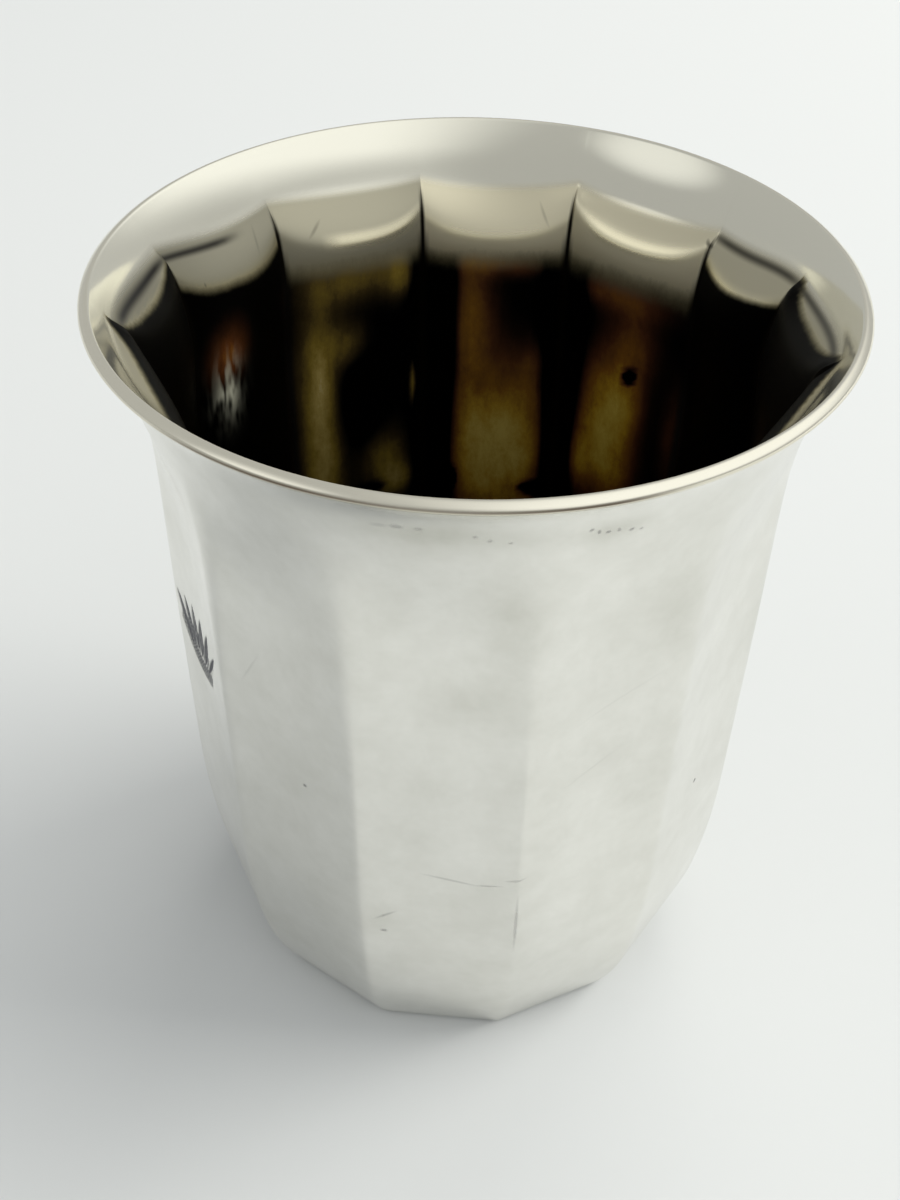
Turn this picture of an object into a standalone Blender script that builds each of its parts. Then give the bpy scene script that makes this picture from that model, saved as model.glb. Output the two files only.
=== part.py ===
"""Christening beaker: a twelve-sided silver cup raised from one sheet.

The cup is hollow, with an even wall from the round flared lip, through twelve flat
facets, to a flat base. Units are metres, +Z is up, and the origin is the middle of the
underside, where the cup stands.
"""

from math import acos, cos, pi, radians, sin, sqrt, tan

import bmesh
import bpy

# Driving sizes
HEIGHT = 0.0795
RIM_DIAMETER = 0.0690
WALL = 0.0008            # sheet thickness, measured at the arrises
LIP_BEAD = 0.0012        # thickness of the rounded, thickened edge of the lip
FACETS = 12
FIRST_ARRIS = radians(-75.0)   # so that one facet faces -Y

# Outer outline at an arris, from the lip down to the base. Each arc has a radius, and
# a slope is how far the wall leans out from the vertical where two arcs meet.
LIP_SLOPE = radians(36.0)
LIP_CURVE = 0.0122
NECK_SLOPE = radians(18.5)
NECK_CURVE = 0.0360
BODY_SLOPE = radians(1.2)
BELLY_CURVE = 0.0940
FOOT_SLOPE = radians(9.7)
FOOT_CURVE = 0.0340
BASE_SLOPE = radians(28.5)
BASE_CORNER = 0.0012

# The facets are full height below the first level and gone above the second.
FACETS_FULL = 0.0695
FACETS_GONE = 0.0755

# Fineness of the mesh
STEPS_PER_FACET = 6
LIP_STEPS = 5
NECK_STEPS = 8
BELLY_STEPS = 3
FOOT_STEPS = 5
CORNER_STEPS = 3
BEAD_STEPS = 8

SILVER_COLOUR = (0.86, 0.85, 0.82, 1.0)
SILVER_ROUGHNESS = 0.18


def clear_scene():
    """Remove whatever the scene holds."""
    for item in list(bpy.data.objects):
        bpy.data.objects.remove(item, do_unlink=True)


def facet_share(height):
    """Return 1 where the section is a polygon and 0 where it is round."""
    step = (FACETS_GONE - height) / (FACETS_GONE - FACETS_FULL)
    step = min(max(step, 0.0), 1.0)
    return step * step * (3.0 - 2.0 * step)


def inward_arc(radius, height, curve, slope_from, slope_to, steps):
    """Follow an arc down the outline; return its points with their slopes.

    Going down by a small length moves the outline in by its sine and down by its cosine.
    A slope that grows on the way down bulges outwards, and one that shrinks hollows in.
    """
    turn = 1.0 if slope_to > slope_from else -1.0
    points = []
    for step in range(1, steps + 1):
        slope = slope_from + (slope_to - slope_from) * step / steps
        inwards = turn * curve * (cos(slope_from) - cos(slope))
        down = turn * curve * (sin(slope) - sin(slope_from))
        points.append((radius - inwards, height - down, slope))
    return points


def bead_centre():
    """Return the radius and height of the middle of the lip's rounded edge."""
    return RIM_DIAMETER / 2 - LIP_BEAD / 2, HEIGHT - LIP_BEAD / 2


def outer_outline():
    """Return (radius, height, slope) from the lip's edge down to the underside."""
    bead = LIP_BEAD / 2
    radius, height = bead_centre()
    # The bead is flush with the inside of the wall and stands proud of the outside.
    inset = WALL - bead
    along = sqrt(bead * bead - inset * inset)
    radius += inset * cos(LIP_SLOPE) - along * sin(LIP_SLOPE)
    height -= inset * sin(LIP_SLOPE) + along * cos(LIP_SLOPE)
    points = [(radius, height, LIP_SLOPE)]
    points += inward_arc(*points[-1][:2], LIP_CURVE, LIP_SLOPE, NECK_SLOPE, LIP_STEPS)
    points += inward_arc(*points[-1][:2], NECK_CURVE, NECK_SLOPE, BODY_SLOPE, NECK_STEPS)

    # The body runs straight down to where the belly, foot and base corner begin.
    belly_height = BELLY_CURVE * (sin(FOOT_SLOPE) - sin(BODY_SLOPE))
    foot_height = FOOT_CURVE * (sin(BASE_SLOPE) - sin(FOOT_SLOPE))
    corner_height = BASE_CORNER * (1.0 - sin(BASE_SLOPE))
    body_bottom = belly_height + foot_height + corner_height
    radius, height, slope = points[-1]
    points.append((radius - (height - body_bottom) * tan(slope), body_bottom, slope))

    points += inward_arc(*points[-1][:2], BELLY_CURVE, BODY_SLOPE, FOOT_SLOPE, BELLY_STEPS)
    points += inward_arc(*points[-1][:2], FOOT_CURVE, FOOT_SLOPE, BASE_SLOPE, FOOT_STEPS)
    points += inward_arc(*points[-1][:2], BASE_CORNER, BASE_SLOPE, pi / 2, CORNER_STEPS)
    return points


def bead_outline():
    """Return (radius, height) round the lip's edge, from the outside over to the inside."""
    bead = LIP_BEAD / 2
    radius, height = bead_centre()
    start = -LIP_SLOPE - acos((WALL - bead) / bead)
    end = pi - LIP_SLOPE
    points = []
    for step in range(1, BEAD_STEPS + 1):
        angle = start + (end - start) * step / BEAD_STEPS
        points.append((radius + bead * cos(angle), height + bead * sin(angle)))
    return points


def section_rings():
    """Return (arris radius, height, facet share) of every ring, underside to floor."""
    outer = outer_outline()
    rings = [(radius, height, facet_share(height)) for radius, height, slope in reversed(outer)]
    rings += [(radius, height, 0.0) for radius, height in bead_outline()]
    for radius, height, slope in outer[1:]:
        inside = radius - WALL * cos(slope)
        rings.append((inside, height + WALL * sin(slope), facet_share(height)))
    return rings


def ring_point(radius, height, share, angle):
    """Return the point of a ring at an angle: a circle cut in towards its chords."""
    half = pi / FACETS
    from_middle = (angle - FIRST_ARRIS) % (2 * half) - half
    distance = radius * (1.0 - share * (1.0 - cos(half) / cos(from_middle)))
    return distance * cos(angle), distance * sin(angle), height


def make_beaker():
    """Join the rings into one closed wall, with a flat underside and a flat floor."""
    columns = FACETS * STEPS_PER_FACET
    angles = [FIRST_ARRIS + 2 * pi * column / columns for column in range(columns)]
    solid = bmesh.new()
    loops = []
    for radius, height, share in section_rings():
        loops.append([solid.verts.new(ring_point(radius, height, share, a)) for a in angles])
    for lower, upper in zip(loops, loops[1:]):
        for here in range(columns):
            there = (here + 1) % columns
            solid.faces.new((lower[here], lower[there], upper[there], upper[here]))
    solid.faces.new(list(reversed(loops[0])))
    solid.faces.new(loops[-1])

    mesh = bpy.data.meshes.new("beaker")
    solid.to_mesh(mesh)
    solid.free()
    mesh.shade_smooth()
    mesh.set_sharp_from_angle(angle=radians(12.0))
    return mesh


def silver():
    """Polished silver, softened by handling."""
    material = bpy.data.materials.new("polished_silver")
    material.use_nodes = True
    shader = material.node_tree.nodes["Principled BSDF"]
    shader.inputs["Base Color"].default_value = SILVER_COLOUR
    shader.inputs["Metallic"].default_value = 1.0
    shader.inputs["Roughness"].default_value = SILVER_ROUGHNESS
    return material


clear_scene()
beaker = bpy.data.objects.new("beaker", make_beaker())
beaker.data.materials.append(silver())
bpy.context.scene.collection.objects.link(beaker)
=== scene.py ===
"""Looks of the christening beaker: worn polished silver outside, dark worn gilding inside."""

import bpy
import numpy as np
from mathutils import Matrix, Quaternion, Vector


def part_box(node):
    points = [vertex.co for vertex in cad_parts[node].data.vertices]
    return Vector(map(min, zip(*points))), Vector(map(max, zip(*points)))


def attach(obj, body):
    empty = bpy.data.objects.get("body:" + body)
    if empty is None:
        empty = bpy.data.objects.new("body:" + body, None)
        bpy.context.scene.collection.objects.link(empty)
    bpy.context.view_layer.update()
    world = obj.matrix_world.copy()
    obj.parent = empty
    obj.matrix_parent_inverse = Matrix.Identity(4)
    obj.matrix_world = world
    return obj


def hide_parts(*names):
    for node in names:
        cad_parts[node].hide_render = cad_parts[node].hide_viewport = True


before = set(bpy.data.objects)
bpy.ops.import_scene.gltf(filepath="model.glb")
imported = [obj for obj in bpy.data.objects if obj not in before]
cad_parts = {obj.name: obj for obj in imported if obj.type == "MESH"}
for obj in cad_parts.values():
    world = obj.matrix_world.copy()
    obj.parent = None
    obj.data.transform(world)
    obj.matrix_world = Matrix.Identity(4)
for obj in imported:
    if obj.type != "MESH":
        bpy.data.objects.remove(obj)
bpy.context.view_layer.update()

MM = 0.001
SEED = 12

# ---------------------------------------------------------------- sizes of the cup
node_low, node_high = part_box("beaker")
HEIGHT = node_high.z - node_low.z
RIM_RADIUS = (node_high.x - node_low.x) / 2
WALL = 0.8 * MM
# The lip's rounded edge: its radius, then how flat its top is and how square the section,
# where 1 and 2 are a circle's.
BEAD = 0.6 * MM
LIP_FLATNESS, LIP_SQUARENESS = 0.7, 2.8
# Facet 0 follows arris 0, which stands at this azimuth, and the rest go on anticlockwise.
FACETS = 12
HALF = np.pi / FACETS
FIRST_ARRIS = np.radians(-75.0)

# How far the wall leans out from the upright where two stretches of its outline meet, and
# the radius of the arc that goes down from there. The body, under the neck's arc, is straight.
LIP_SLOPE, LIP_CURVE = np.radians(36.0), 12.2 * MM
NECK_SLOPE, NECK_CURVE = np.radians(18.5), 36.0 * MM
BODY_SLOPE, BELLY_CURVE = np.radians(1.2), 94.0 * MM
FOOT_SLOPE, FOOT_CURVE = np.radians(9.7), 34.0 * MM
BASE_SLOPE, BASE_CORNER = np.radians(28.5), 1.2 * MM

# The facets are hammered hollow: flat low down, deepest at the second level, flat again at
# the third, where a fold turns them out into the round flare.
HOLLOW_OUTSIDE, HOLLOW_INSIDE = 0.4, 0.6
HOLLOW_LOW, HOLLOW_DEEP, HOLLOW_HIGH = 22.0 * MM, 58.0 * MM, 73.2 * MM
HOLLOW_FADING = 1.3
FOLD_OUTSIDE = 14.0 * MM            # how far below the fold the outside starts to turn round
# Inside, the facets begin with a sloping shoulder under a crisp fold, which sags between
# the creases. The shoulder is so long at a facet's middle, and its foot rises to the
# creases. It also steps the whole wall in, by less the further down, and the fold has a
# small step of its own.
FOLD_HIGH = 74.3 * MM
FOLD_SAGS = np.array([1.0, 1.0, 0.3, 0.3, 1.1, 1.1, 0.7, 1.0, 0.3, 0.3, 1.0, 1.0]) * MM
SHOULDERS = np.array([3.6, 3.4, 2.2, 3.4, 2.25, 3.55, 3.65, 3.8, 2.6, 2.4, 3.4, 3.6]) * MM
SHOULDER_RISES = np.array([1.6, 1.6, 1.8, 1.5, 1.5, 0.8, 1.5, 1.8, 1.8, 1.8, 1.6, 1.6]) * MM
SHORTEST_SHOULDER = 1.0 * MM
SHOULDER_STEP = 0.8 * MM
STEP_FOOT, STEP_FADING = 56.0 * MM, 13.0 * MM
FOLD_STEP, FOLD_STEP_REACH = 0.15 * MM, 5.0 * MM
# The shoulder's corners, at the fold and at its foot, are rounded by these shares of it.
FOLD_ROUNDING, FOOT_ROUNDING = 0.14, 0.34
# How much higher than the fold each arris ends inside, and the share of that outside.
ARRIS_TOPS = np.array([0.2, 0.8, 2.8, 1.1, -0.1, -0.1, -0.5, 0.1, 1.6, 2.6, 1.0, 0.3]) * MM
ARRIS_TOPS_OUTSIDE = 0.3
# The facets are not all as wide: how far each arris stands round from its even place.
ARRIS_SHIFTS = np.radians([0.0, 0.0, 0.0, 2.5, -3.0, -1.0, 0.5, 3.0, 3.0, 0.0, 0.0, 0.0])
# How far below each shoulder's foot the tarnish's edge lies, or above it where less than
# none, and how much it follows the foot's rise, from level to all of it. Then how far the
# shoulder's colour is darkened, a painted dim reflection.
TARNISH_DROPS = np.array([-1.0, -2.2, -1.0, 0.2, 4.3, 3.1, 3.1, 0.7, -0.7, -1.2, -1.4, 0.2]) * MM
TARNISH_RISES = np.array([1.0, 1.0, 1.0, 0.6, 0.0, 0.0, 0.0, 0.7, 0.6, 1.0, 1.0, 1.0])
SHOULDER_DIMMING = np.array([0.4, 0.4, 0.7, 0.55, 0.1, 0.0, 0.75, 1.0, 1.0, 0.7, 0.4, 0.4])
# Gilding that shows through is olive on some facets, and brown to yellow on others.
OLIVE = np.array([0.5, 0.2, 0.5, 0.2, 0.0, 0.15, 1.0, 0.1, 0.4, 0.2, 0.6, 0.3])
# Under the fold of some facets a dark reflection is painted, and along the shoulder's foot of
# some a highlight is painted: facet, amount, and the middle and half length of the line in half
# facets. Then how far the painted dark lies under the fold and its half width, in millimetres.
FOLD_DARK_REFLECTIONS = (
    (7, 0.95, 0.45, 1.0, 0.85, 0.55),
    (8, 1.0, 0.0, 1.4, 0.72, 0.54),
    (3, 0.85, 0.0, 1.5, 0.50, 0.60),
    (2, 0.80, 0.0, 1.4, 0.35, 0.40),
    (11, 0.40, 0.2, 0.8, 0.80, 0.50),
)
# Painted highlights along the foot of some shoulders.
FOOT_HIGHLIGHTS = (
    (6, 1.0, -0.3, 0.8),
    (4, 1.0, 0.0, 1.0),
    (5, 0.4, 0.0, 1.0),
    (3, 0.5, 0.0, 1.0),
    (0, 0.5, 0.0, 1.0),
)
# Outside, arrises are rounded by this many millimetres at the base, more above the foot and
# more again up the neck, times each arris's own share. Inside they are crisp creases.
ARRIS_RADIUS, ARRIS_FOOT_ADDS, ARRIS_NECK_ADDS = 1.3, 0.7, 4.5
ARRIS_FOOT = 30.0 * MM
ARRIS_NECK_LOW, ARRIS_NECK_RISE = 42.0 * MM, 28.0 * MM
ARRIS_SHARES = np.array([0.45, 1.1, 0.9, 1.2, 0.8, 1.0, 0.7, 1.1, 0.9, 1.2, 1.0, 1.1])
CREASE_RADIUS = 0.3 * MM

# Low hammer waves: how deep they are, and how many go round the cup in each.
HAMMER_DEPTH = 0.018 * MM
HAMMER_TURNS = (3, 5, 8, 13, 21)
HAMMER_LOW, HAMMER_HIGH = 1.0 * MM, 76.5 * MM

# Under the lip, outside: a dark reflection painted as a line on the rounded edge, and shade
# painted in the groove below it. Each has its distance below the top and its half width. Both
# are strong on one side of the cup, round this azimuth.
LIP_DARK_REFLECTION, LIP_DARK_REFLECTION_HALF = 0.67 * MM, 0.12 * MM
SHADED_GROOVE, SHADED_GROOVE_HALF = 1.2 * MM, 0.22 * MM
LIP_SHADE_AZIMUTH = np.radians(-95)

# The underside's rings, as shares of its radius from the centre mark out, and how far each
# is hollowed up. The floor has the same rings, and a little gilding left in its middle.
DISC_RINGS = np.array([0.02, 0.05, 0.3, 0.6, 0.85, 0.97])
UNDERSIDE_HOLLOWS = [0.25 * MM, 0.02 * MM, 0.05 * MM, 0.05 * MM, 0.03 * MM, 0.0]
CENTRE_MARK = 0.05 * MM
FLOOR_GILDING, FLOOR_GILDING_REACH = 0.6, 12.0 * MM

# The engraving, a palmette in the middle of one facet, whose wall stands so far from the axis.
ENGRAVED_FACET = 9
ENGRAVING_LOW, ENGRAVING_HIGH = 41.0 * MM, 49.4 * MM
ENGRAVING_HALF = 6.9 * MM
ENGRAVING_RADIUS = 28.8 * MM
CUT_DEPTH = 0.10 * MM

# Rows of points down each arc and round the lip's edge, and steps between rows of the body.
# Inside they are closer, for the fold and the shoulders, and so they are at the engraving.
LIP_ROWS, BELLY_ROWS, FOOT_ROWS, CORNER_ROWS, BEAD_ROWS = 10, 8, 8, 5, 20
NECK_ROWS_OUTSIDE, NECK_ROWS_INSIDE = 18, 36
STEP_OUTSIDE, STEP_INSIDE, STEP_ENGRAVED = 1.6 * MM, 0.8 * MM, 0.15 * MM
# Columns from an arris to a facet's middle, crowded to the arris, and across the engraving.
HALF_FACET_COLUMNS, COLUMN_CROWDING = 12, 1.8
ENGRAVED_COLUMNS = 96


# ---------------------------------------------------------------- the outline
def arc_down(start, curve, slope_from, slope_to, count):
    """Rows of an arc going down: in by its change of cosine, down by its change of sine."""
    turn = np.sign(slope_to - slope_from)
    slope = np.linspace(slope_from, slope_to, count + 1)[1:]
    radius = start[0] - turn * curve * (np.cos(slope_from) - np.cos(slope))
    height = start[1] - turn * curve * (np.sin(slope) - np.sin(slope_from))
    return np.column_stack([radius, height, slope])


def stepped(start, end, step):
    """Even steps no longer than step, from just past start to end."""
    return np.linspace(start, end, int(np.ceil(abs(end - start) / step)) + 1)[1:]


def outer_rows(neck_rows, body_step, engraving_step):
    """Rows of radius, height and slope of the outside at an arris, lip to underside.

    The first row is where the sheet leaves the lip's rounded edge. Arcs join at equal slopes,
    and the body between neck and belly is a straight line whose rows may stand closer where
    the engraving is.
    """
    inset = WALL - BEAD
    along = np.sqrt(BEAD ** 2 - inset ** 2)
    lip_radius = RIM_RADIUS - BEAD + inset * np.cos(LIP_SLOPE) - along * np.sin(LIP_SLOPE)
    lip_height = HEIGHT - BEAD - inset * np.sin(LIP_SLOPE) - along * np.cos(LIP_SLOPE)
    rows = [np.array([[lip_radius, lip_height, LIP_SLOPE]])]
    rows.append(arc_down(rows[-1][-1], LIP_CURVE, LIP_SLOPE, NECK_SLOPE, LIP_ROWS))
    rows.append(arc_down(rows[-1][-1], NECK_CURVE, NECK_SLOPE, BODY_SLOPE, neck_rows))

    belly = BELLY_CURVE * (np.sin(FOOT_SLOPE) - np.sin(BODY_SLOPE))
    foot = FOOT_CURVE * (np.sin(BASE_SLOPE) - np.sin(FOOT_SLOPE))
    bottom = belly + foot + BASE_CORNER * (1.0 - np.sin(BASE_SLOPE))
    radius, top, slope = rows[-1][-1]
    heights = np.concatenate([
        stepped(top, ENGRAVING_HIGH, body_step),
        stepped(ENGRAVING_HIGH, ENGRAVING_LOW, engraving_step),
        stepped(ENGRAVING_LOW, bottom, body_step),
    ])
    straight = radius - (top - heights) * np.tan(slope)
    rows.append(np.column_stack([straight, heights, np.full(len(heights), slope)]))

    rows.append(arc_down(rows[-1][-1], BELLY_CURVE, BODY_SLOPE, FOOT_SLOPE, BELLY_ROWS))
    rows.append(arc_down(rows[-1][-1], FOOT_CURVE, FOOT_SLOPE, BASE_SLOPE, FOOT_ROWS))
    rows.append(arc_down(rows[-1][-1], BASE_CORNER, BASE_SLOPE, np.pi / 2, CORNER_ROWS))
    return np.vstack(rows)


def bead_rows():
    """Rows round the lip's edge, from the outer wall over its top to the inner wall.

    Towards the wall the section is a circle, flush with the inside of the sheet; its top is
    a superellipse, flatter than the circle. Ahead is along the sheet, aside is inwards.
    """
    turn = np.linspace(np.arcsin((WALL - BEAD) / BEAD) - np.pi, np.pi / 2, BEAD_ROWS + 1)[1:]
    ahead, aside = np.cos(turn), np.sin(turn)
    top = ahead > 0
    squarer = 2 / LIP_SQUARENESS
    flat_ahead = LIP_FLATNESS * np.abs(ahead) ** squarer
    flat_aside = np.sign(aside) * np.abs(aside) ** squarer
    ahead = BEAD * np.where(top, flat_ahead, ahead)
    aside = BEAD * np.where(top, flat_aside, aside)
    radius = RIM_RADIUS - BEAD + ahead * np.sin(LIP_SLOPE) - aside * np.cos(LIP_SLOPE)
    height = HEIGHT - BEAD + ahead * np.cos(LIP_SLOPE) + aside * np.sin(LIP_SLOPE)
    return np.column_stack([radius, height, np.full(BEAD_ROWS, LIP_SLOPE)])


def smooth_step(value):
    """0 below 0, 1 above 1, and an S between them: 3 t squared less 2 t cubed."""
    value = np.clip(value, 0.0, 1.0)
    return value * value * (3.0 - 2.0 * value)


def ramp(value, start_rounding, end_rounding):
    """0 below 0, 1 above 1, a straight line between, each corner rounded as a hyperbola."""
    return 0.5 * (1.0 + np.hypot(value, start_rounding) - np.hypot(value - 1.0, end_rounding))


def hollowing(level):
    """How deep the hollows are: easing in up the body, to one where they are deepest."""
    return smooth_step((level - HOLLOW_LOW) / (HOLLOW_DEEP - HOLLOW_LOW))


def outside_share(level):
    """1 where a ring is a polygon, more where its facets are hollow, 0 where it is round."""
    rolled = np.clip((level - HOLLOW_DEEP) / (HOLLOW_HIGH - HOLLOW_DEEP), 0.0, 1.0) ** HOLLOW_FADING
    fold = smooth_step((FOLD_HIGH - level) / FOLD_OUTSIDE)
    return fold * (1.0 + HOLLOW_OUTSIDE * hollowing(level) * (1.0 - rolled))


def along_facets(lines, facet, off_middle):
    """How strong the lines along the facets are at each column.

    A line has its amount on its own facet, times a smooth step that falls to 0 over the
    outer half of its length.
    """
    strength = np.zeros(len(facet))
    for number, amount, middle, half, *_ in lines:
        past = np.abs(off_middle / HALF - middle) / half
        strength += amount * (facet == number) * smooth_step(2.0 * (1.0 - past))
    return strength


def column_angles():
    """Angles round the cup: close together at each arris and across the engraving."""
    near = HALF * np.linspace(0.0, 1.0, HALF_FACET_COLUMNS)[:-1] ** COLUMN_CROWDING
    facet = np.concatenate([near, [HALF], 2 * HALF - near[:0:-1]])
    width = np.arctan(ENGRAVING_HALF / ENGRAVING_RADIUS)
    edge = near[near < HALF - width]
    across = np.linspace(HALF - width, HALF + width, ENGRAVED_COLUMNS)
    engraved = np.concatenate([edge, across, 2 * HALF - edge[:0:-1]])
    turns = [engraved if number == ENGRAVED_FACET else facet for number in range(FACETS)]
    starts = [FIRST_ARRIS + 2 * HALF * number for number in range(FACETS)]
    return np.concatenate([start + turn for start, turn in zip(starts, turns)])


def rounded_polygon(radius, corner, off_arris):
    """Distance from the axis to a polygon's wall whose arrises are rounded.

    Near an arris it is the far root of a circle of the corner's radius, and past the point
    where that circle touches the flat it is the apothem over the cosine from the middle.
    """
    apothem = radius * np.cos(HALF)
    centre = (apothem - corner) / np.cos(HALF)
    touch = np.arctan2(corner * np.sin(HALF), centre + corner * np.cos(HALF))
    flat = apothem / np.cos(HALF - off_arris)
    inside_root = np.maximum(corner ** 2 - (centre * np.sin(off_arris)) ** 2, 0.0)
    rounded = centre * np.cos(off_arris) + np.sqrt(inside_root)
    return np.where(off_arris < touch, rounded, flat)


def between_arrises(values, angles):
    """Carry one value for each arris round the cup, easing from each to the next."""
    place = (angles - FIRST_ARRIS) / (2 * HALF)
    here = np.floor(place + 1e-6).astype(int)
    ease = smooth_step(place - here)
    return values[here % FACETS] * (1 - ease) + values[(here + 1) % FACETS] * ease


def hammered(angles, heights):
    """Low waves left by the raising hammer, still at the lip and the base.

    A sum over the turns of a sine round the cup, which leans with height, times a sine up
    it, over the turns to the power 0.8.
    """
    rng = np.random.default_rng(SEED)
    wave = np.zeros((len(heights), len(angles)))
    for turns in HAMMER_TURNS:
        rise = rng.uniform(0.5, 1.4) * turns * 2 * np.pi / (180 * MM)
        side = rng.choice([-1.0, 1.0])
        phase = rng.uniform(0, 2 * np.pi, 2)
        lean = side * rise * heights[:, None] * 0.4
        round_part = np.sin(turns * angles[None, :] + lean + phase[0])
        wave += round_part * np.sin(rise * heights[:, None] + phase[1]) / turns ** 0.8
    still = smooth_step((HAMMER_HIGH - heights) / (6 * MM))
    still = still * smooth_step((heights - HAMMER_LOW) / (8 * MM))
    return wave * still[:, None] * HAMMER_DEPTH


# ---------------------------------------------------------------- the engraving
STROKE_TAPER, STROKE_STEEPNESS = 0.6, 1.6


def stroke(across, up, start, end, bow, width):
    """How deep a graver's stroke cuts at each point: 1 in its middle, 0 past its width.

    The stroke runs from start to end, bowed aside by a parabola, and thins to its ends. The
    depth is the steepness, less the steepness times the distance over the width, cut off at 1.
    """
    start, end = np.array(start), np.array(end)
    length = np.hypot(*(end - start))
    ahead = (end - start) / length
    aside = np.array([-ahead[1], ahead[0]])
    along = (across - start[0]) * ahead[0] + (up - start[1]) * ahead[1]
    off = (across - start[0]) * aside[0] + (up - start[1]) * aside[1]
    part = np.clip(along / length, 0.0, 1.0)
    off = off - bow * 4 * part * (1 - part)
    overrun = along - part * length
    thin = width * (1 - STROKE_TAPER * np.abs(2 * part - 1) ** 2)
    depth = STROKE_STEEPNESS - STROKE_STEEPNESS * np.hypot(off, overrun) / thin
    return np.clip(depth, 0.0, 1.0)


def palmette(across, up):
    """Depth of cut, 0 to 1, of a fan of six leaves over a hatched bow. Sizes in millimetres.

    It is the greatest depth of all the strokes at each point. A leaf is four strokes bowed
    apart, fuller in some leaves, with three pairs of short side strokes.
    """
    cut = np.zeros_like(across)
    tips = ((-6.5, 47.7), (-4.2, 48.4), (-1.9, 48.9), (0.5, 48.9), (2.7, 48.7), (4.8, 47.5))
    fulls = (1.0, 1.0, 1.0, 1.0, 0.8, 0.35)
    roots = [(-3.4 + 0.98 * number, 43.5 - 0.25 * abs(number - 2.5)) for number in range(6)]
    for root, tip, full in zip(roots, tips, fulls):
        for bow in (-0.52, -0.18, 0.18, 0.52):
            cut = np.maximum(cut, stroke(across, up, root, tip, bow * full, 0.25))
        for rung in (0.3, 0.45, 0.6):
            middle = np.array(root) * (1 - rung) + np.array(tip) * rung
            for side in (-0.55, 0.55):
                start = middle + (side, -0.35)
                cut = np.maximum(cut, 0.7 * stroke(across, up, start, middle, 0.0, 0.17))
    # A short stroke between each two leaves.
    for number in range(5):
        low = (np.array(roots[number]) + roots[number + 1]) / 2
        high = (np.array(tips[number]) + tips[number + 1]) / 2
        cut = np.maximum(cut, 0.8 * stroke(across, up, low, low + 0.5 * (high - low), 0.0, 0.32))
    # The bow is four sagging lines, hatched across.
    for line in range(4):
        left = (-6.2 + 0.25 * line, 44.4 + 0.3 * line)
        right = (2.7 + 0.1 * line, 42.0 + 0.45 * line)
        cut = np.maximum(cut, stroke(across, up, left, right, -1.70 + 0.15 * line, 0.27))
    hatches = 24
    for hatch in range(hatches):
        part = (hatch + 0.5) / hatches
        place = -6.1 + 8.9 * part
        foot = 44.4 - 2.4 * part - 6.8 * part * (1 - part)
        low, high = (place, foot), (place + 0.3, foot + 1.9)
        cut = np.maximum(cut, 0.9 * stroke(across, up, low, high, 0.0, 0.20))
    return cut


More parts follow.
